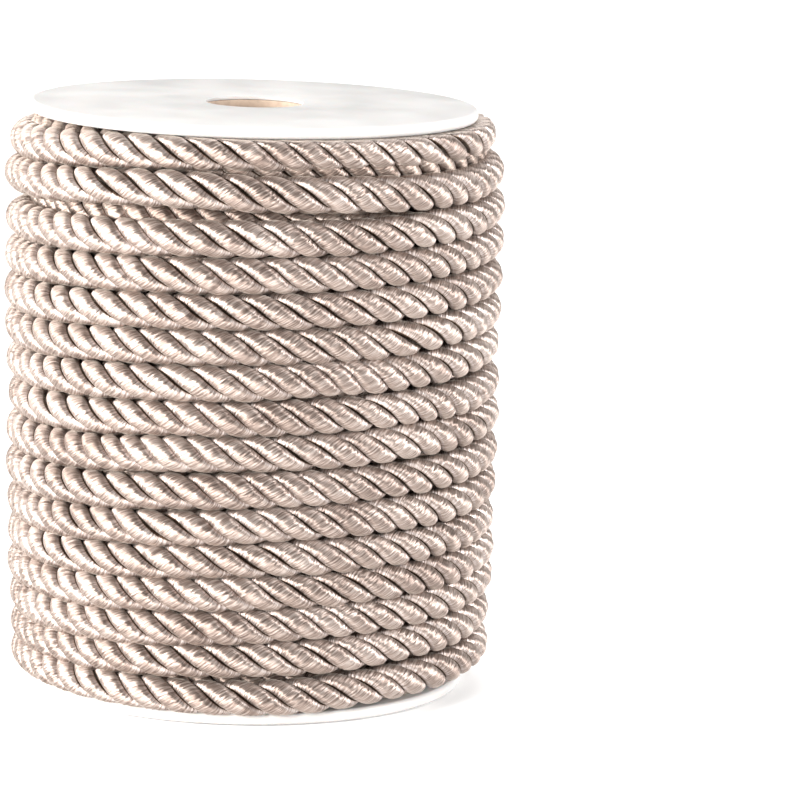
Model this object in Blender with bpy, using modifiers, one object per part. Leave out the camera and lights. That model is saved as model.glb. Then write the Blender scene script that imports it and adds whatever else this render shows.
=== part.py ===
"""Twisted nylon rope wound on a plain flanged spool, standing on its lower flange.

Metres, +Z up along the spool's axis, origin on the surface that it stands on.
Four solids: two flanges, the tube between them, and the wound rope.
The rope is a three-strand twisted cord of 6 mm. Its outer layer of 16 turns is
one ridged solid, and the strands of the twist are raised on each turn.
Angles are in degrees about +Z: 180 is the left side, 270 the front, 360 the right.
"""
import math

import bmesh
import bpy
import numpy as np

MM = 0.001

# The spool
HEIGHT = 100.0 * MM
FLANGE_THICK = 2.0 * MM
FLANGE_RADIUS = 38.3 * MM
FLANGE_EDGE = 0.5 * MM  # rounding of the rim and of the hole's edge
BORE_RADIUS = 8.3 * MM
TUBE_RADIUS = 10.5 * MM
GAP = 0.3 * MM  # between neighbouring pieces
TURNED_STEPS = 72
EDGE_STEPS = 2

# The rope
ROPE_RADIUS = 2.95 * MM
VALLEY_RISE = 0.35  # share of the rope's radius at which two touching turns meet
OPEN_VALLEY_DROP = 0.9  # how fast the valley deepens as two turns part
DEEPEST_VALLEY = 2.2 * MM  # below the middle of the rope: the layer underneath
STRANDS_PER_TURN = 42  # strands that pass the outside of one turn
STRAND_RAISE = 0.6 * MM  # crest over groove
ROWS = 4  # rows of faces across one turn
COLUMNS = 2 * STRANDS_PER_TURN  # a crest and a groove for each strand
LEAN = 2  # columns that a strand moves back while it crosses one turn
ROW_SPREAD = 0.80  # height of the rows beside the crest, in rope radii
CLOSED_RADIUS = 8.0 * MM  # the raw winding is closed inside the tube, then cut

# The outer layer, turn by turn from the top: height of the rope's middle at five
# places across the front, and how far out it reaches at the left and at the right.
MM_COLUMNS = ("at_213", "at_243", "at_271", "at_300", "at_323", "left", "right")
TURNS = (
    (93.6, 95.2, 95.3, 95.3, 95.3, 41.3, 41.4),
    (87.8, 89.7, 89.5, 88.9, 88.7, 42.4, 43.7),
    (80.0, 81.3, 81.8, 82.4, 82.9, 42.2, 43.4),
    (73.8, 75.3, 75.8, 76.4, 77.2, 42.1, 43.2),
    (67.6, 69.4, 69.9, 70.5, 71.3, 42.4, 43.6),
    (61.6, 63.4, 64.1, 64.7, 65.3, 42.0, 43.3),
    (55.5, 57.3, 58.4, 59.1, 59.6, 41.8, 43.4),
    (49.3, 51.1, 52.5, 52.9, 53.2, 41.3, 43.3),
    (43.2, 45.0, 46.3, 47.0, 47.3, 41.3, 43.6),
    (37.2, 38.6, 40.3, 41.2, 41.3, 41.8, 43.4),
    (31.1, 32.5, 34.4, 35.2, 35.4, 41.1, 43.6),
    (25.6, 26.9, 28.6, 29.2, 29.5, 41.1, 43.2),
    (20.1, 21.2, 22.9, 23.6, 23.9, 41.1, 43.5),
    (14.6, 15.6, 17.1, 18.2, 18.6, 40.7, 43.1),
    (9.5, 10.2, 11.3, 12.5, 13.0, 40.1, 42.8),
    (4.6, 4.4, 4.5, 5.9, 6.7, 40.1, 42.9),
)
HEIGHT_ANGLES = (213.0, 243.0, 271.0, 300.0, 323.0)

# Where the outer layer comes up from the layer below at the bottom, and ends at
# the top, both behind: (total angle, height in mm).
BELOW = (
    (-760.0, -16.0),
    (-400.0, -8.0),
    (-147.0, -2.0),
    (-37.0, 0.8),
    (60.0, 2.9),
    (120.0, 4.0),
)
ABOVE = (
    (5770.0, 95.6),
    (5860.0, 98.2),
    (5973.0, 100.6),
    (6083.0, 101.6),
    (6440.0, 108.0),
    (6800.0, 114.0),
)
# Total angles at which the outer layer starts and ends, and how it fades there.
LAYER_START = 70.0
LAYER_END = 5785.0
LAYER_FADE = 25.0
LAYER_DROP = 4.5 * MM
SMOOTHING = (-18.0, -9.0, 0.0, 9.0, 18.0)  # heights are averaged at these steps
FIRST_TURN, LAST_TURN = -1.0, 18.0  # turns from angle 0, past both flanges


def heights():
    """Total angles and heights of the rope's middle, from the bottom turn up."""
    angles, places = [], []
    for angle, height in BELOW:
        angles.append(angle)
        places.append(height)
    for above, row in enumerate(reversed(TURNS)):
        for angle, name in zip(HEIGHT_ANGLES, MM_COLUMNS):
            angles.append(360.0 * above + angle)
            places.append(row[MM_COLUMNS.index(name)])
    for angle, height in ABOVE:
        angles.append(angle)
        places.append(height)
    return np.array(angles), np.array(places) * MM


HEIGHT_AT, HEIGHT_IS = heights()
TURN_MIDDLE = np.array([360.0 * above + 270.0 for above in range(len(TURNS))])
LEFT_REACH = np.array([row[MM_COLUMNS.index("left")] for row in reversed(TURNS)]) * MM
RIGHT_REACH = np.array([row[MM_COLUMNS.index("right")] for row in reversed(TURNS)]) * MM


def rope_height(angle):
    """Height of the rope's middle at a total angle."""
    around = [np.interp(angle + step, HEIGHT_AT, HEIGHT_IS) for step in SMOOTHING]
    return float(np.mean(around))


def layer_share(angle):
    """1 on the outer layer, 0 where the rope is in the layer below."""
    rise = (angle - LAYER_START) / LAYER_FADE + 0.5
    fall = (LAYER_END - angle) / LAYER_FADE + 0.5
    share = min(max(min(rise, fall), 0.0), 1.0)
    return share * share * (3.0 - 2.0 * share)


def rope_middle_radius(angle):
    """Distance of the rope's middle from the spool's axis at a total angle."""
    left = float(np.interp(angle, TURN_MIDDLE, LEFT_REACH))
    right = float(np.interp(angle, TURN_MIDDLE, RIGHT_REACH))
    reach = (left + right) / 2 + (right - left) / 2 * math.cos(math.radians(angle))
    return reach - ROPE_RADIUS - LAYER_DROP * (1.0 - layer_share(angle))


def valley(angle):
    """Height and radius of the groove above the turn at this total angle."""
    low, high = rope_height(angle), rope_height(angle + 360.0)
    middle = (rope_middle_radius(angle) + rope_middle_radius(angle + 360.0)) / 2
    parted = max(high - low - 2 * ROPE_RADIUS, 0.0)
    rise = max(VALLEY_RISE * ROPE_RADIUS - OPEN_VALLEY_DROP * parted, -DEEPEST_VALLEY)
    return (low + high) / 2, middle + rise


def surface_point(column, row):
    """Point of the ridged surface: columns run along the rope, rows across it."""
    angle = 360.0 * (column - LEAN * row / ROWS) / COLUMNS
    if row in (0, ROWS):
        height, radius = valley(angle if row else angle - 360.0)
    else:
        middle, distance = rope_height(angle), rope_middle_radius(angle)
        across = (2.0 * row / ROWS - 1.0) * 2 * ROW_SPREAD * ROPE_RADIUS
        crest = STRAND_RAISE * (0.5 if column % 2 else -0.5)
        height = middle + across
        radius = distance + math.sqrt(ROPE_RADIUS**2 - across**2) + crest
    turned = math.radians(angle)
    return radius * math.cos(turned), radius * math.sin(turned), height


def collection_named(name):
    made = bpy.data.collections.new(name)
    bpy.context.scene.collection.children.link(made)
    return made


def material_named(name, colour, roughness):
    made = bpy.data.materials.new(name)
    made.use_nodes = True
    shader = made.node_tree.nodes["Principled BSDF"]
    shader.inputs["Base Color"].default_value = (*colour, 1.0)
    shader.inputs["Roughness"].default_value = roughness
    return made


def object_from(bm, name, collection, material=None):
    mesh = bpy.data.meshes.new(name)
    bm.to_mesh(mesh)
    bm.free()
    made = bpy.data.objects.new(name, mesh)
    collection.objects.link(made)
    if material:
        mesh.materials.append(material)
    return made


def rounded_ring(inner, outer, low, high, edge):
    """Section of a flat ring, from the inner top edge over the outer side and back."""
    corners = (
        (inner, high, 180.0, 90.0, edge, -edge),
        (outer, high, 90.0, 0.0, -edge, -edge),
        (outer, low, 0.0, -90.0, -edge, edge),
        (inner, low, -90.0, -180.0, edge, edge),
    )
    section = []
    for x, z, first, last, inward, upward in corners:
        for step in range(EDGE_STEPS + 1 if edge else 1):
            turned = math.radians(first + (last - first) * step / EDGE_STEPS)
            section.append(
                (x + inward + edge * math.cos(turned), z + upward + edge * math.sin(turned))
            )
    return section


def turned(name, section, collection, material=None):
    """A closed section turned about +Z with the Screw modifier."""
    bm = bmesh.new()
    points = [bm.verts.new((x, 0.0, z)) for x, z in section]
    for first, second in zip(points, points[1:] + points[:1]):
        bm.edges.new((first, second))
    made = object_from(bm, name, collection, material)
    screw = made.modifiers.new("Turned", "SCREW")
    screw.steps = TURNED_STEPS
    screw.render_steps = TURNED_STEPS
    screw.use_merge_vertices = True
    screw.merge_threshold = 0.00001
    return made


def raw_winding(name, collection, material):
    """The ridged outside of the winding, closed inward: longer than the spool."""
    bm = bmesh.new()
    first = round(FIRST_TURN * COLUMNS)
    along = round((LAST_TURN - FIRST_TURN) * COLUMNS)
    bmesh.ops.create_grid(bm, x_segments=along, y_segments=ROWS, size=1.0)
    for point in bm.verts:
        column = first + round((point.co.x + 1.0) / 2 * along)
        row = round((point.co.y + 1.0) / 2 * ROWS)
        point.co = surface_point(column, row)
    bmesh.ops.remove_doubles(bm, verts=bm.verts[:], dist=0.000001)
    outside = bm.faces[:]
    pushed = bmesh.ops.extrude_face_region(bm, geom=outside, use_keep_orig=True)
    for point in pushed["geom"]:
        if isinstance(point, bmesh.types.BMVert):
            share = CLOSED_RADIUS / math.hypot(point.co.x, point.co.y)
            point.co.x *= share
            point.co.y *= share
    bmesh.ops.recalc_face_normals(bm, faces=bm.faces[:])
    return object_from(bm, name, collection, material)


def build():
    for left_over in list(bpy.data.objects):
        bpy.data.objects.remove(left_over)
    scene = bpy.context.scene
    scene.unit_settings.system = "METRIC"
    scene.unit_settings.scale_length = 1.0
    parts = collection_named("twisted_rope_spool")
    cutters = collection_named("cutters")

    rope = material_named("nylon_rope_champagne", (0.60, 0.48, 0.37), 0.35)
    plastic = material_named("moulded_plastic_white", (0.88, 0.88, 0.87), 0.40)
    board = material_named("paperboard_tan", (0.52, 0.36, 0.22), 0.80)

    turned(
        "spool_bottom_flange",
        rounded_ring(BORE_RADIUS, FLANGE_RADIUS, 0.0, FLANGE_THICK, FLANGE_EDGE),
        parts,
        plastic,
    )
    turned(
        "spool_top_flange",
        rounded_ring(BORE_RADIUS, FLANGE_RADIUS, HEIGHT - FLANGE_THICK, HEIGHT, FLANGE_EDGE),
        parts,
        plastic,
    )
    low, high = FLANGE_THICK + GAP, HEIGHT - FLANGE_THICK - GAP
    turned("spool_core", rounded_ring(BORE_RADIUS, TUBE_RADIUS, low, high, 0.0), parts, board)

    winding = raw_winding("rope_winding", parts, rope)
    limits = turned(
        "winding_limits",
        rounded_ring(TUBE_RADIUS + GAP, 60.0 * MM, low, high, 0.0),
        cutters,
    )
    limits.hide_render = True
    limits.display_type = "WIRE"
    cut = winding.modifiers.new("Between flanges", "BOOLEAN")
    cut.operation = "INTERSECT"
    cut.solver = "EXACT"
    cut.object = limits


build()
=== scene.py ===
# %% [markdown]
# # Twisted nylon rope on a flanged spool
#
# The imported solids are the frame: two flanges, the tube between them and the wound
# rope as one body. This script shows the rope as it really is, a satin cord of three
# strands, laid strand by strand, and gives every surface its real finish. Everything
# is in metres, with +Z up along the spool's axis and the front at -Y.

# %% Load the frame
import math

import bmesh
import bpy
import numpy as np
from mathutils import Matrix, Vector


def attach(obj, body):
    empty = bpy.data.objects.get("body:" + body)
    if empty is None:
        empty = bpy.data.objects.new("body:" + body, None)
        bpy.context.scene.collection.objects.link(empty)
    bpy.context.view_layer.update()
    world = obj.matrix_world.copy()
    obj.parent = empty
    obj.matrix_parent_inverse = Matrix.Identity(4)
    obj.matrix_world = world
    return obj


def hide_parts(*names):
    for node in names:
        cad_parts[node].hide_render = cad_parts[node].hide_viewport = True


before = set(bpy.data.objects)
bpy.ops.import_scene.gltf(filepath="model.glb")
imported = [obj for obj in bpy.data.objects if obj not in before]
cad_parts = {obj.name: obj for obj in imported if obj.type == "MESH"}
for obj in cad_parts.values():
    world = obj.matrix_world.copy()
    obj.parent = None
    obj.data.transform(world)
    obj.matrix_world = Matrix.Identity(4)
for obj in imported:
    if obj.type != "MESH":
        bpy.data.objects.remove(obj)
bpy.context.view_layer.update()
MM = 0.001
print("nodes:", sorted(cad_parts))

# %% [markdown]
# ## How high each turn lies
#
# A rope wound on a spool is one long spiral, but its turns are uneven: some part,
# some crowd together. A Screw modifier or a helix formula would make them all alike.
# So a table holds each turn's real place, and the path is drawn through it.
#
# Total angle counts every turn from the bottom up: in each turn 180 is the left
# side, 270 the front and 360 the right. Each row is one turn, from the top down: the
# height of the rope's middle at five angles across the front, then how far out the
# turn reaches at the left and at the right, all in millimetres.

# %% Table of turns
HEIGHT_ANGLES = (213.0, 243.0, 271.0, 300.0, 323.0)
LEFT, RIGHT = 5, 6  # columns of the table that hold the reach
TURNS = (
    (93.8, 95.5, 95.8, 96.2, 96.2, 41.3, 41.4),
    (87.8, 89.7, 89.5, 88.9, 88.7, 42.4, 43.7),
    (80.0, 81.3, 81.8, 82.4, 82.9, 42.2, 43.4),
    (73.8, 75.3, 75.8, 76.4, 77.2, 42.1, 43.2),
    (67.6, 69.4, 69.9, 70.5, 71.3, 42.4, 43.6),
    (61.6, 63.4, 64.1, 64.7, 65.3, 42.0, 43.3),
    (55.5, 57.3, 58.4, 59.1, 59.6, 41.8, 43.4),
    (49.3, 51.1, 52.5, 52.9, 53.2, 41.3, 43.3),
    (43.2, 45.0, 46.3, 47.0, 47.3, 41.3, 43.6),
    (37.2, 38.6, 40.3, 41.2, 41.3, 41.8, 43.4),
    (31.1, 32.5, 34.4, 35.2, 35.4, 41.1, 43.6),
    (25.6, 26.9, 28.6, 29.2, 29.5, 41.1, 43.2),
    (20.1, 21.2, 22.9, 23.6, 23.9, 41.1, 43.5),
    (14.6, 15.6, 17.1, 18.2, 18.6, 40.7, 43.1),
    (9.5, 10.2, 11.3, 12.5, 13.0, 40.1, 42.8),
    (4.6, 4.4, 4.5, 5.9, 6.7, 40.1, 42.9),
)
BELOW = ((-147.0, -2.0), (-37.0, 0.8), (60.0, 2.9), (120.0, 4.0))  # run in, angle and height
ABOVE = ((5770.0, 95.6), (5860.0, 98.2), (5973.0, 100.6))  # run out

height_table = list(BELOW)
for above, row in enumerate(reversed(TURNS)):
    height_table += [(360.0 * above + angle, row[i]) for i, angle in enumerate(HEIGHT_ANGLES)]
height_table += list(ABOVE)
HEIGHT_AT = np.array([angle for angle, height in height_table])
HEIGHT_IS = np.array([height for angle, height in height_table]) * MM
TURN_MIDDLE = np.array([360.0 * above + 270.0 for above in range(len(TURNS))])
REACH_LEFT = np.array([row[LEFT] for row in reversed(TURNS)]) * MM
REACH_RIGHT = np.array([row[RIGHT] for row in reversed(TURNS)]) * MM
print(len(TURNS), "turns,", len(height_table), "heights")

# %% [markdown]
# ## The outer layer's path
#
# Between the table's angles the rope runs smoothly, so each height is the mean of
# five places close by. The rope can't pass through a flange: its top and bottom
# turns are pressed against the flanges' inner faces and flatten a little. At both
# ends of the layer the rope dives under it, which hides the cut ends.

# %% Path of the outer layer
ROPE_RADIUS = 3.1 * MM
LOW_FACE, HIGH_FACE = 2.0 * MM, 98.0 * MM  # the flanges' inner faces
FLATTENED = 1.4 * MM  # most that a turn is pressed flat against a flange
SMOOTHING = (-18.0, -9.0, 0.0, 9.0, 18.0)
LAYER_START, LAYER_END, LAYER_FADE = 70.0, 5785.0, 25.0
LAYER_DROP = 4.5 * MM


def smooth_step(x):
    """0 to 1 with a soft start and a soft end."""
    x = np.clip(x, 0.0, 1.0)
    return x * x * (3.0 - 2.0 * x)


def outer_path(angle):
    """Height and distance from the axis of the outer layer's rope, at total angles."""
    height = np.mean([np.interp(angle + step, HEIGHT_AT, HEIGHT_IS) for step in SMOOTHING], axis=0)
    left = np.interp(angle, TURN_MIDDLE, REACH_LEFT)
    right = np.interp(angle, TURN_MIDDLE, REACH_RIGHT)
    reach = (left + right) / 2 + (right - left) / 2 * np.cos(np.radians(angle))
    rise = (angle - LAYER_START) / LAYER_FADE + 0.5
    fall = (LAYER_END - angle) / LAYER_FADE + 0.5
    inside = 1.0 - smooth_step(np.minimum(rise, fall))
    nearest = ROPE_RADIUS - FLATTENED
    height = np.clip(height, LOW_FACE + nearest, HIGH_FACE - nearest)
    return height, reach - ROPE_RADIUS - LAYER_DROP * inside


print("rope's middle at the front of the top turn:", outer_path(TURN_MIDDLE[-1:]))

# %% [markdown]
# ## The path of the layer below
#
# A machine winds one layer up and the next one down, so the layer below climbs the
# other way. It shows between turns that have parted, and under the upper flange at
# the left. Its turns are even enough for a straight run between a few heights.

# %% Path of the layer below
INNER_DROP = 3.0 * MM  # how far it lies under the outer layer
INNER_TURNS = 15.9
INNER_START = -360.0
INNER_END = 360.0 * INNER_TURNS
INNER_HEIGHTS = ((-147.0, 94.9), (213.0, 89.6), (573.0, 84.3), (INNER_END, 5.1))
INNER_REACH = ((5.0, 40.6), (95.0, 42.4))  # reach of the outer layer by height, in mm
INNER_LEAN = 0.8  # how much further out it lies at the right, in mm


def inner_path(angle):
    """As outer_path, for the layer below, which falls as its angle grows."""
    height = np.interp(angle, *zip(*INNER_HEIGHTS))
    level = np.interp(height, *zip(*INNER_REACH)) + INNER_LEAN * np.cos(np.radians(angle))
    return height * MM, level * MM - ROPE_RADIUS - INNER_DROP


print("layer below, its ends:", inner_path(np.array([INNER_START, INNER_END])))

# %% [markdown]
# ## Small drifts
#
# Nothing on a real rope is quite regular. A Noise texture could move the points, but
# it would move them in every direction. Here one random value stands every so many
# degrees along the rope, with a smooth passage between them. Each drift has a seed
# of its own, so the rope comes out the same each time.

# %% A smooth random drift
WANDER_START, WANDER_SPAN = -400.0, 6600.0  # total angles that a drift covers


def wander(angle, spacing, amount, seed):
    """A drift along the rope, with one random value every so many degrees."""
    values = np.random.default_rng(seed).normal(0.0, amount, int(WANDER_SPAN / spacing) + 2)
    place = (angle - WANDER_START) / spacing
    first = np.floor(place).astype(int)
    mix = smooth_step(place - first)
    return values[first] * (1.0 - mix) + values[first + 1] * mix


HEIGHT_DRIFT = {"spacing": 21.0, "amount": 0.12 * MM, "seed": 31}
DISTANCE_DRIFT = {"spacing": 27.0, "amount": 0.12 * MM, "seed": 32}
print("height drift at the front of three turns:", wander(TURN_MIDDLE[:3], **HEIGHT_DRIFT))

# %% [markdown]
# ## The rope's middle line
#
# A strand has to know, at each point of the rope, which way the rope runs and which
# way is out of the roll. A curve with a bevel would work that out by itself, but its
# twist can't be steered. So the three directions are worked out here.

# %% Middle line and its directions
def rope_line(path, angle):
    """Points of the rope's middle line and the directions along, out and down there."""
    height, distance = path(angle)
    height = height + wander(angle, **HEIGHT_DRIFT)
    distance = distance + wander(angle, **DISTANCE_DRIFT)
    turned = np.radians(angle)
    line = np.stack([distance * np.cos(turned), distance * np.sin(turned), height], -1)
    along = np.gradient(line, axis=0)
    along /= np.linalg.norm(along, axis=1, keepdims=True)
    out = np.stack([np.cos(turned), np.sin(turned), np.zeros_like(turned)], -1)
    out -= along * (out * along).sum(1, keepdims=True)
    out /= np.linalg.norm(out, axis=1, keepdims=True)
    return line, along, out, np.cross(along, out)


ONE_TURN = np.linspace(2700.0, 3060.0, 361)  # total angles of a turn half way up
one_turn_steps = np.diff(rope_line(outer_path, ONE_TURN)[0], axis=0)
print("rope in one middle turn, m:", np.linalg.norm(one_turn_steps, axis=1).sum())

# %% [markdown]
# ## Three strands round one line
#
# The cord is three strands laid round each other to the right, a Z twist, with 16.2
# full twists in a turn of the spool. Each strand circles the rope's middle line at a
# fixed distance. Its lay tightens and loosens a little on the way, and the strand
# swells and thins.

# %% The line of one strand
LAYS_PER_TURN = 16.2
STRANDS = 3
STRAND_CENTRE = 1.58 * MM  # from the rope's middle line to the strand's own
SLOW_LAY = {"spacing": 55.0, "amount": 0.8}  # drift of the twist, in radians
QUICK_LAY = {"spacing": 13.0, "amount": 0.13}
SWELLING = {"spacing": 11.0, "amount": 0.035}  # share of the strand's thickness
QUICK_SEED, SWELL_SEED = 20, 10  # added to the layer's own seed


def strand_line(path, angle, number, seed):
    """The strand's middle line, its directions out and aside, and its swelling."""
    line, along, out, down = rope_line(path, angle)
    lay = 2 * math.pi * (LAYS_PER_TURN * angle / 360.0 + number / STRANDS)
    lay += wander(angle, **SLOW_LAY, seed=seed) + wander(angle, **QUICK_LAY, seed=seed + QUICK_SEED)
    swell = 1.0 + wander(angle, **SWELLING, seed=seed + SWELL_SEED + number)
    facing = np.cos(lay)[:, None] * out + np.sin(lay)[:, None] * down
    middle = line + STRAND_CENTRE * facing
    runs = np.gradient(middle, axis=0)
    runs /= np.linalg.norm(runs, axis=1, keepdims=True)
    facing -= runs * (facing * runs).sum(1, keepdims=True)
    facing /= np.linalg.norm(facing, axis=1, keepdims=True)
    return middle, facing, np.cross(runs, facing), swell


distance = outer_path(ONE_TURN)[1].mean()
print("millimetres of rope to one twist:", 2 * math.pi * distance / LAYS_PER_TURN / MM)

# %% [markdown]
# ## The strand's section
#
# Pressed against the two others, a strand isn't round: it is a rounded lobe, a
# little wider than deep. More points stand on the side that faces out of the rope,
# where they show, than on the side that is hidden inside.

# %% Section of one strand
STRAND_ACROSS = 1.60 * MM  # half width, round the rope
STRAND_DEEP = 1.50 * MM  # half depth, out of the rope
SECTION_POWER = 0.83  # below 1 the section is fuller at its four corners than an ellipse
OUTSIDE_SPREAD = 0.22  # how much closer the points stand on the outer side


def strand_section(sides):
    """Depth and width of each point of the section. The middle one is the crest."""
    turn = 2 * math.pi * (np.arange(sides) / sides - 0.5)
    around = turn - OUTSIDE_SPREAD * 2 * np.sin(turn)
    deep = STRAND_DEEP * np.sign(np.cos(around)) * np.abs(np.cos(around)) ** SECTION_POWER
    across = STRAND_ACROSS * np.sign(np.sin(around)) * np.abs(np.sin(around)) ** SECTION_POWER
    return deep, across


print("section, depth and width in mm:", [np.round(side / MM, 2) for side in strand_section(8)])

# %% [markdown]
# ## A strand as a mesh
#
# The section is carried along the line, ring by ring, and the rings are joined by
# four-sided faces, with a fan of triangles on each end, so the tube is closed. Its
# UV map is what the satin shine needs: u runs in millimetres along the strand and v
# once round it. The crest is at v = 0.5, so the map's seam lies hidden in the rope.

# %% Faces, ends and UV map
FACE_GAP = 0.05 * MM  # kept between a strand and the inner face of a flange


def strand_mesh(name, path, angle, sides, number, seed):
    """One strand of the rope along a path, closed at both ends."""
    steps = len(angle)
    middle, facing, aside, swell = strand_line(path, angle, number, seed)
    deep, across = strand_section(sides)
    ring = (
        middle[:, None]
        + swell[:, None, None] * deep[None, :, None] * facing[:, None]
        + swell[:, None, None] * across[None, :, None] * aside[:, None]
    )
    ring[..., 2] = np.clip(ring[..., 2], LOW_FACE + FACE_GAP, HIGH_FACE - FACE_GAP)
    points = np.concatenate([ring.reshape(-1, 3), middle[[0, -1]]])
    row, side = np.meshgrid(np.arange(steps - 1), np.arange(sides), indexing="ij")
    here, there, after = row * sides, (row + 1) * sides, (side + 1) % sides
    quads = np.stack([here + side, here + after, there + after, there + side], -1).reshape(-1, 4)
    first_middle, last_middle, last_ring = steps * sides, steps * sides + 1, (steps - 1) * sides
    caps = [(first_middle, (i + 1) % sides, i) for i in range(sides)]
    caps += [(last_middle, last_ring + i, last_ring + (i + 1) % sides) for i in range(sides)]
    mesh = bpy.data.meshes.new(name)
    mesh.from_pydata(points.tolist(), [], quads.tolist() + caps)
    thread_map(mesh, middle, row, side, sides)
    mesh.validate()
    mesh.shade_smooth()
    facing_out(mesh)
    print(name, "faces", len(mesh.polygons))
    return mesh


def thread_map(mesh, middle, row, side, sides):
    """The UV map: u in millimetres along the strand, v from 0 to 1 round it."""
    steps = np.linalg.norm(np.diff(middle, axis=0), axis=1)
    length = np.concatenate([[0.0], np.cumsum(steps)]) / MM
    u = np.stack([length[row], length[row], length[row + 1], length[row + 1]], -1).reshape(-1)
    v = np.stack([side, side + 1, side + 1, side], -1).reshape(-1) / sides
    coordinates = np.zeros((len(mesh.loops), 2), np.float32)
    coordinates[: len(u), 0] = u
    coordinates[: len(u), 1] = v
    mesh.uv_layers.new(name="thread").data.foreach_set("uv", coordinates.ravel())


def facing_out(mesh):
    """Turns the faces outward where they all point in."""
    bm = bmesh.new()
    bm.from_mesh(mesh)
    if bm.calc_volume(signed=True) < 0:
        bmesh.ops.reverse_faces(bm, faces=bm.faces[:])
    bm.to_mesh(mesh)
    bm.free()


# %% [markdown]
# ## The outer layer
#
# Three strands make the layer that the eye sees. They take the place of the packed
# winding, which has the same turns but a coarser twist. Each is close to 200,000
# triangles, enough that no flat face shows on a lobe in the render.

# %% The outer layer's strands
OUTER_ANGLES = np.linspace(45.0, 5815.0, 6150)  # just past both ends of the layer
OUTER_SIDES, OUTER_SEED = 16, 3


def placed(name, mesh):
    """A mesh as an object in the scene that rides on the part's one body."""
    made = bpy.data.objects.new(name, mesh)
    bpy.context.scene.collection.objects.link(made)
    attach(made, "root")
    return made


outer_strands = []
for number in range(STRANDS):
    name = f"rope_strand_{number + 1}"
    mesh = strand_mesh(name, outer_path, OUTER_ANGLES, OUTER_SIDES, number, OUTER_SEED)
    outer_strands.append(placed(name, mesh))
for strand in outer_strands:
    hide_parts("rope_winding")

# %% [markdown]
# ## The layer below
#
# The same cord again, on its own path. Only its crests show in the gaps, so fewer
# points do.

# %% The layer below
INNER_ANGLES = np.linspace(INNER_START, INNER_END, 3600)
INNER_SIDES, INNER_SEED = 10, 5

inner_strands = []
for number in range(STRANDS):
    name = f"layer_below_strand_{number + 1}"
    mesh = strand_mesh(name, inner_path, INNER_ANGLES, INNER_SIDES, number, INNER_SEED)
    inner_strands.append(placed(name, mesh))

# %% [markdown]
# ## Turning a section
#
# A flange is a round moulding, so it has one section all the way round. A cylinder
# with a bored hole and bevelled edges would also do, but a Screw modifier that turns
# a drawn section gives every edge its own rounding. The modifier is applied, because
# the pattern on the surface is to stay where it is.

# %% Rounded corners and the turning
MERGE_WITHIN = 0.01 * MM
ROUND_STEPS = 6
TURNED_STEPS = 160
CREASE_DEGREES = 35.0  # edges sharper than this stay sharp in the shading


def corner(x, z, first, last, radius, inward, upward):
    """Points of one rounded corner of a section, from angle first to angle last."""
    centre_x, centre_z = x + inward * radius, z + upward * radius
    for step in range(ROUND_STEPS + 1):
        turned = math.radians(first + (last - first) * step / ROUND_STEPS)
        yield centre_x + radius * math.cos(turned), centre_z + radius * math.sin(turned)


def ring_section(inner, outer, low, high, inner_round, outer_round):
    """Section of a flat ring, from the inner top edge over the outer side and back."""
    section = list(corner(inner, high, 180, 90, inner_round, 1, -1))
    section += corner(outer, high, 90, 0, outer_round, -1, -1)
    section += corner(outer, low, 0, -90, outer_round, -1, 1)
    section += corner(inner, low, -90, -180, inner_round, 1, 1)
    return section


def turned_piece(name, section):
    """A closed section turned about the spool's axis, its modifier applied."""
    mesh = bpy.data.meshes.new(name)
    points = [(x, 0.0, z) for x, z in section]
    count = len(points)
    mesh.from_pydata(points, [(i, (i + 1) % count) for i in range(count)], [])
    made = bpy.data.objects.new(name, mesh)
    bpy.context.scene.collection.objects.link(made)
    screw = made.modifiers.new("Turned", "SCREW")
    screw.steps = screw.render_steps = TURNED_STEPS
    screw.use_merge_vertices = True
    screw.merge_threshold = MERGE_WITHIN
    bpy.ops.object.select_all(action="DESELECT")
    made.select_set(True)
    bpy.context.view_layer.objects.active = made
    bpy.ops.object.modifier_apply(modifier=screw.name)
    facing_out(made.data)
    bpy.ops.object.shade_smooth_by_angle(angle=math.radians(CREASE_DEGREES))
    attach(made, "root")
    print(name, "faces", len(made.data.polygons))
    return made


# %% [markdown]
# ## The flanges and the ends of the tube
#
# Each flange is a white moulded disc, 2 mm thick, with a soft rim. A shallow socket
# in its inner face seats the tube, so only a thin web of plastic lies over the tube's
# end and the tan wall starts close under the rim of the hole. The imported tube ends
# at the flange, so a short piece of tube goes on from there into the socket. The
# lower end of the spool is the upper one mirrored.

# %% Flanges and tube ends
SPOOL = {"rim": 38.3 * MM, "bore": 8.3 * MM, "thick": 2.0 * MM, "height": 100.0 * MM}
RIM_ROUND = 0.75 * MM
BORE_ROUND = 0.12 * MM
WEB_THICK = 0.5 * MM  # thickness of the flange over the end of the tube
SOCKET_RADIUS = 10.4 * MM
SEAT_GAP = 0.05 * MM
TUBE_END_FROM = 2.2 * MM  # from the spool's end to where the tube's end piece starts
TUBE_EDGE = 0.05 * MM


def flange_section():
    """The upper flange: a disc with a shallow socket under it, which seats the tube."""
    high, low = SPOOL["height"], SPOOL["height"] - SPOOL["thick"]
    section = list(corner(SPOOL["bore"], high, 180, 90, BORE_ROUND, 1, -1))
    section += corner(SPOOL["rim"], high, 90, 0, RIM_ROUND, -1, -1)
    section += corner(SPOOL["rim"], low, 0, -90, RIM_ROUND, -1, 1)
    section += [(SOCKET_RADIUS, low), (SOCKET_RADIUS, high - WEB_THICK)]
    section += corner(SPOOL["bore"], high - WEB_THICK, -90, -180, BORE_ROUND, 1, 1)
    return section


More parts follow.
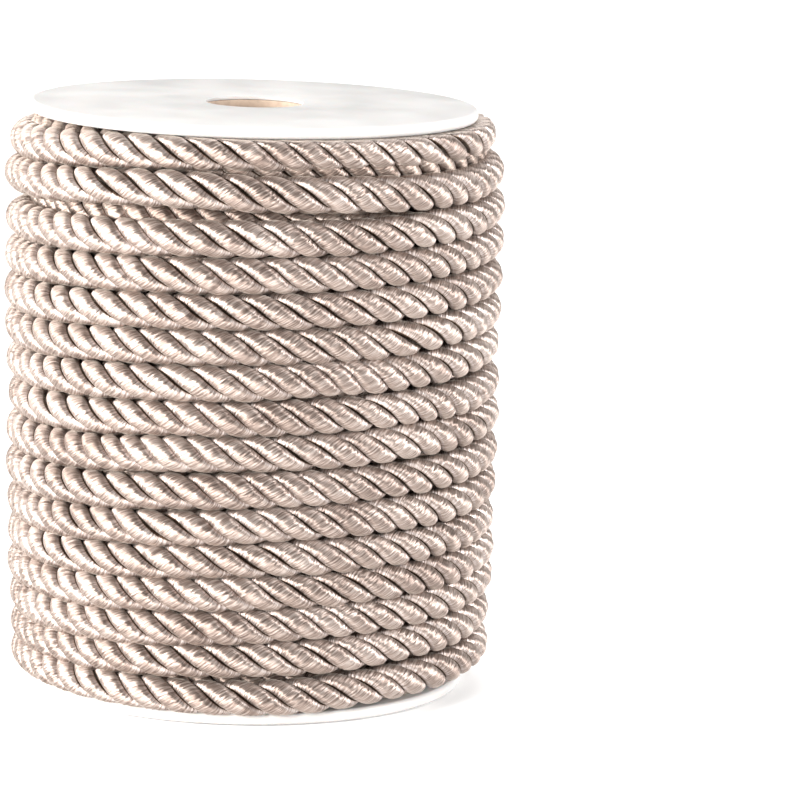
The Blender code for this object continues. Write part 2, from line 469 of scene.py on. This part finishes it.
def tube_end_section():
    """The tube's upper end, as it stands in the socket."""
    low, high = SPOOL["height"] - TUBE_END_FROM, SPOOL["height"] - WEB_THICK - SEAT_GAP
    return ring_section(
        SPOOL["bore"], SOCKET_RADIUS - SEAT_GAP, low, high, TUBE_EDGE, TUBE_EDGE
    )


def mirrored(section):
    """The same section for the lower end of the spool."""
    return [(x, SPOOL["height"] - z) for x, z in section]


flanges, tube_ends = [], []
for place, side in (("bottom", mirrored), ("top", list)):
    flange = turned_piece(f"flange_{place}", side(flange_section()))
    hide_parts(f"spool_{place}_flange")
    flanges.append(flange)
    tube_ends.append(turned_piece(f"tube_end_{place}", side(tube_end_section())))

# %% [markdown]
# ## The layers under those two
#
# The rope goes on below, layer under layer, down to the tube. No eye reaches it, so
# one turned body fills that space and keeps light from shining through the roll.

# %% The deeper layers
FILL_INSIDE, FILL_OUTSIDE = 10.8 * MM, 32.2 * MM
FILL_GAP = 0.3 * MM  # to the flanges
FILL_ROUND_INSIDE, FILL_ROUND_OUTSIDE = 0.5 * MM, 1.0 * MM
fill_section = ring_section(
    FILL_INSIDE,
    FILL_OUTSIDE,
    LOW_FACE + FILL_GAP,
    HIGH_FACE - FILL_GAP,
    FILL_ROUND_INSIDE,
    FILL_ROUND_OUTSIDE,
)
filling = turned_piece("deeper_layers", fill_section)

# %% [markdown]
# ## Building materials from nodes
#
# A material is a small network of nodes that ends in one shader. Colours are written
# in hex as the eye sees them, and one function turns them into the linear values
# that the shader takes. One function adds a node, and one gives inputs to a node.

# %% Material helpers
def linear(hex_colour):
    """An sRGB hex colour such as C8B49E as linear RGBA."""
    values = []
    for start in (0, 2, 4):
        value = int(hex_colour[start : start + 2], 16) / 255
        values.append(value / 12.92 if value <= 0.04045 else ((value + 0.055) / 1.055) ** 2.4)
    return (*values, 1.0)


def material(name):
    """A new material and its shader."""
    made = bpy.data.materials.new(name)
    made.use_nodes = True
    return made, made.node_tree.nodes["Principled BSDF"]


def plug(made, node, inputs):
    """Gives a node its inputs: each a value, another node's first output or an output."""
    for key, value in inputs.items():
        if isinstance(value, bpy.types.Node):
            value = value.outputs[0]
        if isinstance(value, bpy.types.NodeSocket):
            made.node_tree.links.new(value, node.inputs[key])
        else:
            node.inputs[key].default_value = value


def add(made, kind, inputs=None, stops=(), **settings):
    """A new node with its inputs and settings, and with a colour ramp's stops."""
    node = made.node_tree.nodes.new(kind)
    for key, value in settings.items():
        setattr(node, key, value)
    plug(made, node, inputs or {})
    while stops and len(node.color_ramp.elements) < len(stops):
        node.color_ramp.elements.new(0.5)
    for stop, (place, colour) in enumerate(stops):
        node.color_ramp.elements[stop].position = place
        node.color_ramp.elements[stop].color = linear(colour)
    return node


print("the tan C0AB99 in linear values:", linear("C0AB99"))

# %% [markdown]
# ## Satin nylon: the filaments
#
# The cord is bright nylon in continuous filaments, not spun, so it shines like
# satin. The filaments wrap each strand almost square to its length. Real ones are
# a few hundredths of a millimetre thick, too fine to show, so they are drawn in
# groups about 0.2 mm wide, with wider bundles, patches and tilts over them. Each
# pattern is noise on the strand's UV map, drawn out across the strand.

# %% Patterns along the strand
LEAN_MM = 2.2  # how far a filament moves along the strand on its way round it
PATTERNS = {  # how many to a millimetre along, how many round it, detail, roughness
    "filaments": (4.6, 1.6, 2.0, 0.6),
    "bundles": (0.9, 1.3, 1.0, 0.5),
    "patches": (0.05, 0.6, 1.0, 0.5),
    "tilts": (3.8, 1.0, 2.0, 0.6),
}


def strand_place(made):
    """Where a point lies on the strand: along it as the filaments lean, and round it."""
    uv = add(made, "ShaderNodeUVMap", uv_map="thread")
    split = add(made, "ShaderNodeSeparateXYZ", {"Vector": uv})
    lean = add(made, "ShaderNodeMath", {0: split.outputs["Y"], 1: LEAN_MM}, operation="MULTIPLY")
    along = add(made, "ShaderNodeMath", {0: split.outputs["X"], 1: lean}, operation="ADD")
    return along, split.outputs["Y"]


def filament_pattern(made, along, around, kind):
    """Noise of one of the kinds above, from 0 to 1."""
    per_mm, per_round, detail, roughness = PATTERNS[kind]
    u = add(made, "ShaderNodeMath", {0: along, 1: per_mm}, operation="MULTIPLY")
    v = add(made, "ShaderNodeMath", {0: around, 1: per_round}, operation="MULTIPLY")
    place = add(made, "ShaderNodeCombineXYZ", {"X": u, "Y": v})
    noise = {"Vector": place, "Scale": 1.0, "Detail": detail, "Roughness": roughness}
    return add(made, "ShaderNodeTexNoise", noise, noise_dimensions="2D")


for kind, (per_mm, *rest) in PATTERNS.items():
    print(kind, "are", round(1 / per_mm, 2), "mm wide")

# %% [markdown]
# ## Satin nylon: the shine
#
# Satin shines in a band that runs square to its filaments. The shader's anisotropy
# gives that band, along the tangent of the UV map. On real cord the band is frayed
# like a comb, since each group of filaments is tipped a little to one side or the
# other. So the normal is tipped by noise before a bump adds the fine ridges.

# %% Tipped and ridged normal
TIP = 0.9  # most that a group of filaments tips, as a share of the normal
BUNDLES_IN_RIDGES = 0.7
RIDGE_HEIGHT, RIDGE_STRENGTH = 0.2 * MM, 0.6


def satin_normal(made, tangent, patterns):
    """The surface's normal, tipped group by group, with fine ridges on it."""
    normal = add(made, "ShaderNodeNewGeometry").outputs["Normal"]
    aside = add(made, "ShaderNodeVectorMath", {0: normal, 1: tangent}, operation="CROSS_PRODUCT")
    tip = add(
        made, "ShaderNodeMath", {0: patterns["tilts"], 1: TIP, 2: -TIP / 2}, operation="MULTIPLY_ADD"
    )
    tipped = add(made, "ShaderNodeVectorMath", {0: aside, "Scale": tip}, operation="SCALE")
    leaning = add(made, "ShaderNodeVectorMath", {0: normal, 1: tipped}, operation="ADD")
    even = add(made, "ShaderNodeVectorMath", {0: leaning}, operation="NORMALIZE")
    ridges = add(
        made,
        "ShaderNodeMath",
        {0: patterns["bundles"], 1: BUNDLES_IN_RIDGES, 2: patterns["filaments"]},
        operation="MULTIPLY_ADD",
    )
    return add(
        made,
        "ShaderNodeBump",
        {"Height": ridges, "Strength": RIDGE_STRENGTH, "Distance": RIDGE_HEIGHT, "Normal": even},
    )


print("filaments tip up to", round(math.degrees(math.atan(TIP / 2))), "degrees")

# %% [markdown]
# ## Satin nylon: the colour
#
# The nylon is a warm grey beige. Some filaments lie deeper and look darker, so the
# patterns also choose between four tones. Where two strands press together no light
# gets in: a second ramp paints that shade as a thin brown line on the strand's flanks,
# from just past the place where it touches the next one. Between the crest and that
# line it paints a highlight, a bright cream rim along each side of the strand.

# %% Tones, painted rim highlight and painted groove shade
TONE_SHARES = {"filaments": 0.7, "bundles": 0.1, "patches": 0.2}
TONE_STOPS = (0.36, 0.45, 0.53, 0.62)
# Painted light across the strand: a painted highlight, a bright cream rim, then painted shade, a
# dark brown line where strands press together.
PAINTED_RIM_AND_GROOVE_SHADE_STOPS = (  # share of the way from the crest to the hidden back, and colour
    (0.44, "E2DCD6"),
    (0.53, "FFFFFF"),
    (0.58, "F6F0EA"),
    (0.605, "62503F"),
    (0.70, "3C2E24"),
)


def satin_colour(made, around, patterns, tones):
    """The strand's colour, from four tones, with a painted highlight and painted shade on its
    flanks.
    """
    tone = 0.0
    for kind, share in TONE_SHARES.items():
        mixed = {0: patterns[kind], 1: share, 2: tone}
        tone = add(made, "ShaderNodeMath", mixed, operation="MULTIPLY_ADD")
    colour = add(made, "ShaderNodeValToRGB", {"Fac": tone}, stops=tuple(zip(TONE_STOPS, tones)))
    doubled = add(made, "ShaderNodeMath", {0: around, 1: 2.0, 2: -1.0}, operation="MULTIPLY_ADD")
    from_crest = add(made, "ShaderNodeMath", {0: doubled}, operation="ABSOLUTE")
    # Painted highlight and painted shade on the flanks, set by the share of the way from the crest.
    painted_rim_and_shade = add(made, "ShaderNodeValToRGB", {"Fac": from_crest}, stops=PAINTED_RIM_AND_GROOVE_SHADE_STOPS)
    both = {0: 1.0, 6: colour.outputs["Color"], 7: painted_rim_and_shade.outputs["Color"]}
    shaded = add(made, "ShaderNodeMix", both, data_type="RGBA", blend_type="MULTIPLY")
    return shaded.outputs[2]


print("tones add up to", sum(TONE_SHARES.values()))

# %% [markdown]
# ## Satin nylon: the whole material
#
# Nylon isn't metal, but a bundle of bright filaments sends light back almost as a
# metal does, in its own colour, so the shader is set nearly metallic. A little warm
# sheen stands for the lint that catches light at the edges. The layer below is the
# same nylon in darker tones, a painted shade for the rope that lies under the outer layer.

# %% Satin filament nylon
def satin_nylon(name, tones):
    made, shader = material(name)
    along, around = strand_place(made)
    patterns = {kind: filament_pattern(made, along, around, kind) for kind in PATTERNS}
    tangent = add(made, "ShaderNodeTangent", direction_type="UV_MAP", uv_map="thread")
    rough = {"Value": patterns["filaments"], "From Min": 0.3, "From Max": 0.7}
    rough |= {"To Min": 0.46, "To Max": 0.56}
    looks = {
        "Base Color": satin_colour(made, around, patterns, tones),
        "Roughness": add(made, "ShaderNodeMapRange", rough),
        "Normal": satin_normal(made, tangent, patterns),
        "Tangent": tangent,
        "Metallic": 0.85,
        "Anisotropic": 0.8,
        "Specular IOR Level": 0.8,
        "Sheen Weight": 0.3,
        "Sheen Roughness": 0.3,
        "Sheen Tint": linear("FFF1E2"),
    }
    plug(made, shader, looks)
    print(name, "nodes", len(made.node_tree.nodes))
    return made


rope_nylon = satin_nylon("nylon_filament_satin", ("82746E", "A0928C", "B6AAA5", "D4CBC8"))
# The layer below: the same nylon in darker tones, as painted shade.
below_nylon_painted_shade = satin_nylon("nylon_filament_satin_below_painted_shade", ("7C6D66", "9C8D86", "B0A39C", "CCC1BB"))
for strand in outer_strands:
    strand.data.materials.append(rope_nylon)
for strand in inner_strands:
    strand.data.materials.append(below_nylon_painted_shade)

# %% [markdown]
# ## Moulded plastic
#
# The flanges are injection-moulded polypropylene, white, smooth and slightly waxy.
# Light enters it a little way, so the shader scatters some of it under the surface.
# Its gloss is a little uneven, in clouds about 11 mm wide, and a faint grain under
# 1 mm breaks up the reflections. Both read the object's own coordinates.

# %% White polypropylene
CLOUDS_PER_METRE, GRAIN_PER_METRE = 90.0, 1400.0


def moulded_plastic(name):
    made, shader = material(name)
    place = add(made, "ShaderNodeTexCoord").outputs["Object"]
    cloud = {"Vector": place, "Scale": CLOUDS_PER_METRE, "Detail": 4.0}
    cloud = add(made, "ShaderNodeTexNoise", cloud)
    grain = {"Vector": place, "Scale": GRAIN_PER_METRE, "Detail": 2.0}
    grain = add(made, "ShaderNodeTexNoise", grain)
    rough = {"Value": cloud, "From Min": 0.3, "From Max": 0.7, "To Min": 0.30, "To Max": 0.42}
    white = ((0.35, "BBB9B7"), (0.65, "C3C1BF"))
    bump = {"Height": grain, "Strength": 0.15, "Distance": 0.05 * MM}
    looks = {
        "Base Color": add(made, "ShaderNodeValToRGB", {"Fac": cloud}, stops=white),
        "Roughness": add(made, "ShaderNodeMapRange", rough),
        "Normal": add(made, "ShaderNodeBump", bump),
        "Specular IOR Level": 0.15,
        "Subsurface Weight": 0.12,
        "Subsurface Scale": 2.0 * MM,
    }
    plug(made, shader, looks)
    print(name, "nodes", len(made.node_tree.nodes))
    return made


white_plastic = moulded_plastic("moulded_polypropylene_white")
for flange in flanges:
    flange.data.materials.append(white_plastic)

# %% [markdown]
# ## Wound paperboard
#
# The tube is tan paperboard, wound from a strip in a spiral. Its fibres give a matt,
# mottled tan, and the strip's edges leave faint slanted seams, about 26 mm apart. A
# wave texture, tilted a little, draws the seams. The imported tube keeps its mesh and
# only gets this material, and so do the two short ends.

# %% Tan paperboard
FIBRES_PER_METRE = 700.0
WAVE_PERIOD = math.pi / 10  # length of one band of the wave texture at scale 1
SEAM_SPACING = 26.18 * MM
SEAM_TILT = 0.5
SEAMS_IN_TONE = 0.25


def paperboard(name):
    made, shader = material(name)
    place = add(made, "ShaderNodeTexCoord").outputs["Object"]
    fibre = {"Vector": place, "Scale": FIBRES_PER_METRE, "Detail": 5.0}
    fibre = add(made, "ShaderNodeTexNoise", fibre)
    tilt = {"Vector": place, "Rotation": (SEAM_TILT, 0.0, 0.0)}
    wave = {"Vector": add(made, "ShaderNodeMapping", tilt), "Scale": WAVE_PERIOD / SEAM_SPACING}
    wave |= {"Distortion": 0.4, "Detail": 1.0}
    seams = add(made, "ShaderNodeTexWave", wave, bands_direction="Z").outputs["Fac"]
    mixed = {0: seams, 1: SEAMS_IN_TONE, 2: fibre}
    mixed = add(made, "ShaderNodeMath", mixed, operation="MULTIPLY_ADD")
    tan = ((0.35, "9C8878"), (0.80, "C0AB99"))
    bump = {"Height": fibre, "Strength": 0.3, "Distance": 0.08 * MM}
    looks = {
        "Base Color": add(made, "ShaderNodeValToRGB", {"Fac": mixed}, stops=tan),
        "Normal": add(made, "ShaderNodeBump", bump),
        "Roughness": 0.85,
    }
    plug(made, shader, looks)
    print(name, "nodes", len(made.node_tree.nodes))
    return made


board = paperboard("paperboard_tan")
for tube_end in tube_ends:
    tube_end.data.materials.append(board)
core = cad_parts["spool_core"]
if not core.material_slots:
    core.data.materials.append(board)
for slot in core.material_slots:
    slot.material = board

# %% [markdown]
# ## Nylon deep in the roll
#
# The filling has no strands of its own. Bands one rope high stand for its turns and
# fine noise for the filaments, all in the nylon's shaded tones.

# %% Wound nylon
LINT_PER_METRE = 900.0
BANDS_IN_TONE = 0.4


def wound_nylon(name):
    made, shader = material(name)
    place = add(made, "ShaderNodeTexCoord").outputs["Object"]
    lint = add(
        made, "ShaderNodeTexNoise", {"Vector": place, "Scale": LINT_PER_METRE, "Detail": 4.0}
    )
    wave = {"Vector": place, "Scale": WAVE_PERIOD / (2 * ROPE_RADIUS)}
    wave |= {"Distortion": 0.6, "Detail": 1.0}
    bands = add(made, "ShaderNodeTexWave", wave, bands_direction="Z").outputs["Fac"]
    mixed = {0: bands, 1: BANDS_IN_TONE, 2: lint}
    mixed = add(made, "ShaderNodeMath", mixed, operation="MULTIPLY_ADD")
    shade = ((0.35, "5E4F44"), (0.95, "9C8F86"))
    bump = {"Height": mixed, "Strength": 0.4, "Distance": 0.3 * MM}
    looks = {
        "Base Color": add(made, "ShaderNodeValToRGB", {"Fac": mixed}, stops=shade),
        "Normal": add(made, "ShaderNodeBump", bump),
        "Roughness": 0.7,
    }
    plug(made, shader, looks)
    print(name, "nodes", len(made.node_tree.nodes))
    return made


filling.data.materials.append(wound_nylon("nylon_wound_deep"))

# %% [markdown]
# ## A white floor
#
# The spool stands on a plain ground that comes out pure white. A very large pale
# plane does, and a faint glow of its own keeps the spool's shadow on it light. It is
# part of the stage, not of the object.

# %% Floor
FLOOR_SIZE = 12.0
FLOOR_DROP = 0.2 * MM  # under the spool, so the two faces don't coincide
FLOOR_GLOW = 0.10

bpy.ops.mesh.primitive_plane_add(size=FLOOR_SIZE, location=(0.0, 0.0, -FLOOR_DROP))
floor = bpy.context.active_object
floor.name = "floor"
floor_paint, floor_shader = material("floor_white")
floor_looks = {
    "Base Color": linear("F7F7F7"),
    "Roughness": 0.9,
    "Emission Color": linear("FFFFFF"),
    "Emission Strength": FLOOR_GLOW,
}
plug(floor_paint, floor_shader, floor_looks)
floor.data.materials.append(floor_paint)
print("floor", FLOOR_SIZE, "m wide")

# %% [markdown]
# ## Studio light
#
# The light is high-key. A very large soft light behind and above whitens the floor
# and the upper flange. Three small soft lights, two at the left and one at the
# right, stand just above the middle of the spool: each draws a bright band along
# the satin, and the roll stays a little darker between them.

# %% World and lights
WORLD_STRENGTH = 0.32
SPOOL_MIDDLE = Vector((0.0, 0.0, SPOOL["height"] / 2))

world = bpy.data.worlds.new("studio")
bpy.context.scene.world = world
world.use_nodes = True
background = world.node_tree.nodes["Background"].inputs
background["Color"].default_value = linear("FFFFFF")
background["Strength"].default_value = WORLD_STRENGTH


def soft_light(name, place, width, height, power, colour="FFFFFF"):
    """A rectangular area light that faces the middle of the spool."""
    data = bpy.data.lights.new(name, "AREA")
    data.shape = "RECTANGLE"
    data.size, data.size_y = width, height
    data.energy = power
    data.color = linear(colour)[:3]
    made = bpy.data.objects.new(name, data)
    bpy.context.scene.collection.objects.link(made)
    made.location = place
    made.rotation_euler = (SPOOL_MIDDLE - Vector(place)).to_track_quat("-Z", "Y").to_euler()
    print(name, power, "W")
    return made


soft_light("behind_above", (0.0, 2.0, 2.2), 4.5, 3.0, 120.0)
soft_light("key_left", (-0.92, -0.15, 0.24), 0.45, 0.44, 17.8, "FFFDFA")
soft_light("front_left", (-0.55, -0.85, 0.26), 0.22, 0.46, 15.4, "FFFDFA")
soft_light("right", (0.95, -0.20, 0.24), 0.35, 0.44, 13.5)

# %% [markdown]
# ## Camera
#
# The camera stands 0.78 m away and looks 10 degrees down through a long lens, turned
# 2 degrees aside and tilted by 1.7. These values make the rims of both flanges and
# of the hole fall where the picture has them. Its axes are worked out one by one and
# set as a matrix, since a camera looks along its own -Z with +Y up.

# %% Camera
FOCAL_PIXELS, IMAGE_PIXELS, SENSOR_MM = 4461.0, 800.0, 36.0
PITCH, YAW, ROLL = -0.1743, 0.0347, 0.0300
CAMERA_PLACE = (0.0, -0.7600, 0.1828)
NEAREST_SEEN = 50.0 * MM

forward = Vector(
    (math.sin(YAW) * math.cos(PITCH), math.cos(YAW) * math.cos(PITCH), math.sin(PITCH))
)
level_right = Vector((math.cos(YAW), -math.sin(YAW), 0.0))
level_up = level_right.cross(forward)
right = math.cos(ROLL) * level_right + math.sin(ROLL) * level_up
up = math.cos(ROLL) * level_up - math.sin(ROLL) * level_right
camera_data = bpy.data.cameras.new("camera")
camera_data.sensor_width = SENSOR_MM
camera_data.lens = FOCAL_PIXELS / IMAGE_PIXELS * SENSOR_MM
camera_data.clip_start = NEAREST_SEEN
camera = bpy.data.objects.new("camera", camera_data)
bpy.context.scene.collection.objects.link(camera)
axes = Matrix((right, up, -forward)).transposed().to_4x4()
camera.matrix_world = Matrix.Translation(CAMERA_PLACE) @ axes
bpy.context.scene.camera = camera
bpy.context.scene.view_settings.view_transform = "Standard"
print("lens, mm:", round(camera_data.lens, 1))
